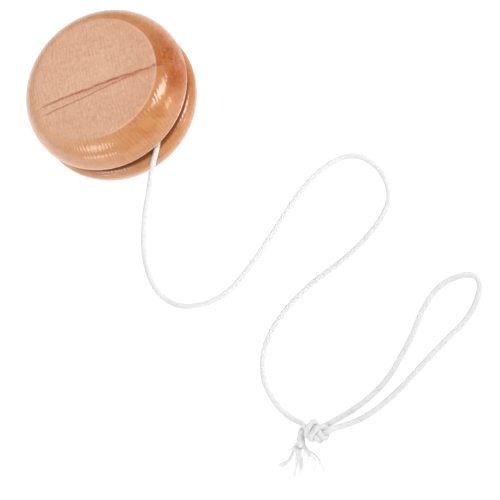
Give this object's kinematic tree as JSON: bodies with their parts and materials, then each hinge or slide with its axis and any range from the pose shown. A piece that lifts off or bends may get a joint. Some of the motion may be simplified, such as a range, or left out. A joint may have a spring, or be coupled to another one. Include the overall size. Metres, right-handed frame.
{
  "type": "wooden yo-yo",
  "caption": "Two turned wooden halves glued on a dowel, with a narrow string gap and a cotton string that ends in a knotted finger loop.",
  "frame": {"origin": "centre of the rear half's flat face, on the surface that the yo-yo lies on", "axes": "+Z along the axle towards the front half's flat face; -Y and +X are the side where the string lies"},
  "size_m": [0.1482, 0.1465, 0.027],
  "materials": {
    "lacquered_wood": "clear lacquer, glossy shoulder and satin face",
    "dowel_wood": "bare turned hardwood",
    "cotton_cord": "matt twisted cotton"
  },
  "bodies": {
    "string": {"string_winding": "cotton_cord", "string_lead": "cotton_cord", "loop_knot": "cotton_cord", "finger_loop": "cotton_cord", "frayed_tail": "cotton_cord"},
    "rotor": {"front_half": "lacquered_wood", "rear_half": "lacquered_wood", "axle_dowel": "dowel_wood"}
  },
  "joints": [
    {"name": "spin", "type": "hinge", "parent": "string", "child": "rotor", "pos_m": [0, 0, 0.0135], "axis": [0, 0, 1], "continuous": true}
  ]
}
